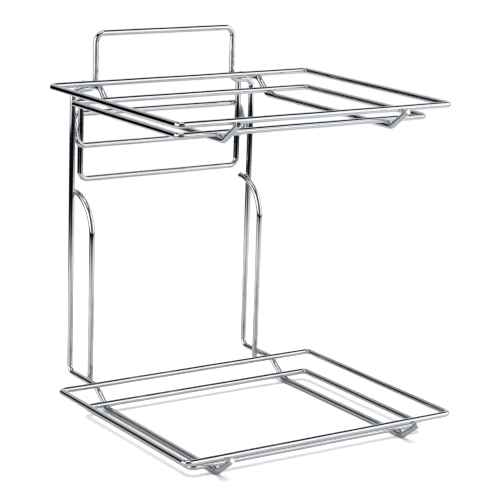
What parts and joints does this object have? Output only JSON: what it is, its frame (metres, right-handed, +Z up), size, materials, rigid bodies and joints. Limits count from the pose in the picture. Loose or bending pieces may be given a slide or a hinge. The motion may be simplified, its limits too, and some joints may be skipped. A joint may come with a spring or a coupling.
{
  "type": "two-tier wire tray stand",
  "caption": "Chrome wire counter stand: two stepped tray tiers on bent runners, braced back posts, a carrying handle, and an upper tier that lifts out of a keeper loop.",
  "frame": {"origin": "on the surface it stands on, at the middle of its width and depth", "axes": "+X to the user's right as they face the open front, +Y to the back where the posts are, +Z up"},
  "size_m": [0.316, 0.3348, 0.3817],
  "materials": {
    "chrome_frame": "bright chrome plate",
    "chrome_lower": "bright chrome plate",
    "chrome_bracket": "bright chrome plate",
    "chrome_upper": "bright chrome plate"
  },
  "bodies": {
    "frame": {"main_frame": "chrome_frame", "brace_left": "chrome_frame", "brace_right": "chrome_frame", "keeper_loop": "chrome_frame", "lower_rim": "chrome_lower", "lower_tray_rest": "chrome_lower"},
    "upper_tier": {"upper_bracket": "chrome_bracket", "upper_rim": "chrome_upper", "upper_tray_rest": "chrome_upper"}
  },
  "joints": [
    {"name": "upper_tier_lift", "type": "slide", "parent": "frame", "child": "upper_tier", "axis": [0, 0, 1], "range_m": [0, 0.09]}
  ]
}
